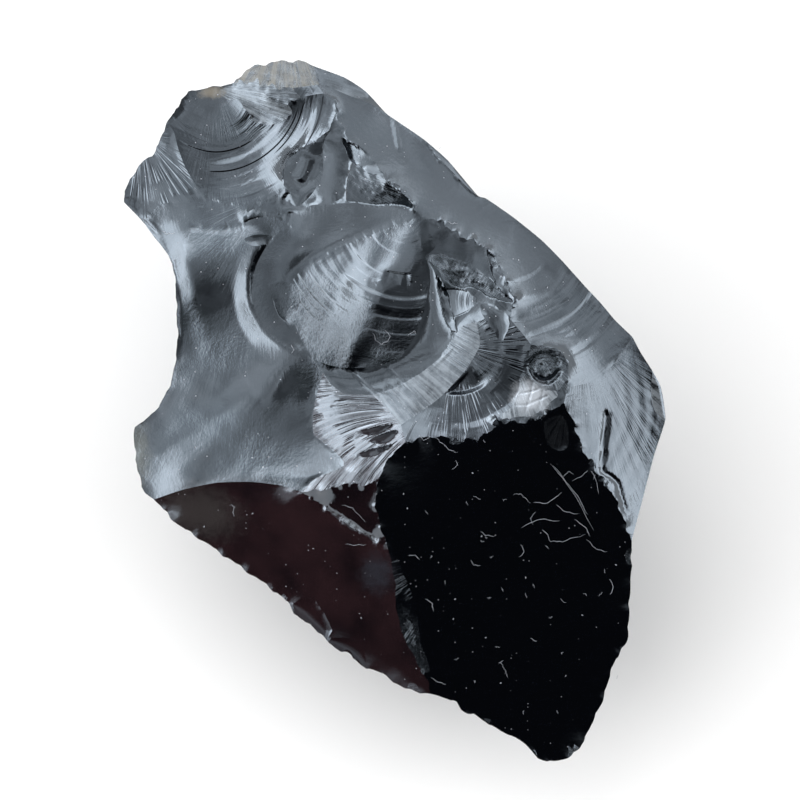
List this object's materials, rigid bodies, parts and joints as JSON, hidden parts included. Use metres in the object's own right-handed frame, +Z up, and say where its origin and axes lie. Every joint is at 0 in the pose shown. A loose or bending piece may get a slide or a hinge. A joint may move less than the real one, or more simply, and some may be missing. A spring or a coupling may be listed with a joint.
{
  "type": "obsidian chunk",
  "caption": "Angular chunk of natural black obsidian with conchoidal flake scars, a rippled shell-shaped scar, sharp ridges and a flat resting face.",
  "frame": {"origin": "middle of the bounding box at the height of the flat resting face", "axes": "+Z up out of the broken upper side, +Y along the longest extent towards the crushed edge, +X towards the long straight flank"},
  "size_m": [0.0598, 0.0778, 0.0311],
  "materials": {
    "obsidian": "opaque black volcanic glass, naturally polished fracture surfaces, faint brown tint on one facet, pale crushed crust on one edge"
  },
  "bodies": {
    "root": {"obsidian_chunk": "obsidian"}
  },
  "joints": []
}
